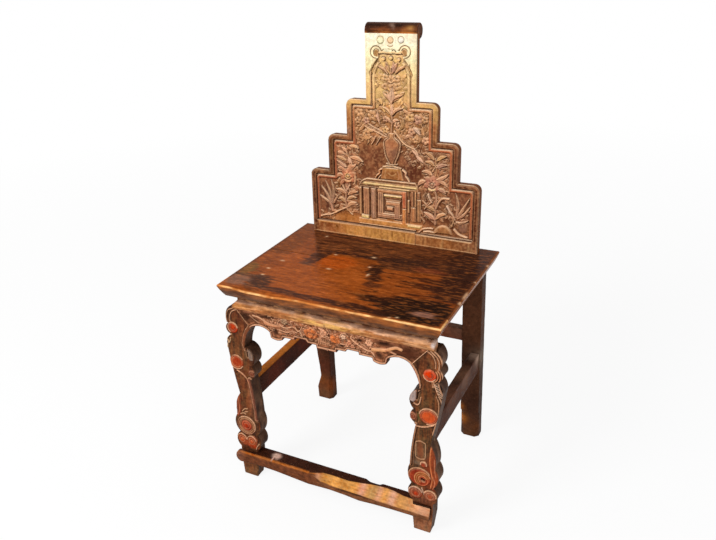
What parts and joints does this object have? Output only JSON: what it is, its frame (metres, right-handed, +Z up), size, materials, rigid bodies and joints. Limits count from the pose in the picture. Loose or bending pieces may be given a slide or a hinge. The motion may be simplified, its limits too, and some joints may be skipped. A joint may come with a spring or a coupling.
{
  "type": "side chair",
  "caption": "Armless carved wooden chair with a flat board seat, S-shaped front legs, a foot rail and a stepped back board that rises to a rolled crest.",
  "frame": {"origin": "on the floor, under the middle of the chair's bounding box", "axes": "+Z up, -Y towards the front edge of the seat, +X towards the chair's right side as the picture's viewer sees it"},
  "size_m": [0.5178, 0.4275, 0.9986],
  "materials": {
    "seat_lacquer": "worn red-brown gloss lacquer",
    "dark_lacquer": "dark brown lacquer with red discs",
    "worn_lacquer": "rubbed brown lacquer with bare wood at the wear",
    "gilt_lacquer": "rubbed gilding over red-brown lacquer",
    "plain_wood": "unfinished softwood",
    "peg_bamboo": "plain bamboo"
  },
  "bodies": {
    "root": {"seat_front_board": "seat_lacquer", "seat_rear_board": "seat_lacquer", "seat_batten_left": "plain_wood", "seat_batten_right": "plain_wood", "seat_dowels": "peg_bamboo", "front_waist": "worn_lacquer", "front_apron": "worn_lacquer", "front_leg_left": "dark_lacquer", "front_leg_right": "dark_lacquer", "rear_leg_left": "dark_lacquer", "rear_leg_right": "dark_lacquer", "side_rail_left": "dark_lacquer", "side_rail_right": "dark_lacquer", "rear_rail": "dark_lacquer", "side_stretcher_left": "dark_lacquer", "side_stretcher_right": "dark_lacquer", "rear_stretcher": "dark_lacquer", "foot_rail": "worn_lacquer", "back_centre_board": "gilt_lacquer", "back_wing_left": "gilt_lacquer", "back_wing_right": "gilt_lacquer", "crest_scroll": "dark_lacquer", "back_dowels": "peg_bamboo", "back_tenon_pegs": "peg_bamboo", "stretcher_pegs": "peg_bamboo", "rail_pegs": "peg_bamboo", "foot_rail_pegs": "peg_bamboo"}
  },
  "joints": []
}
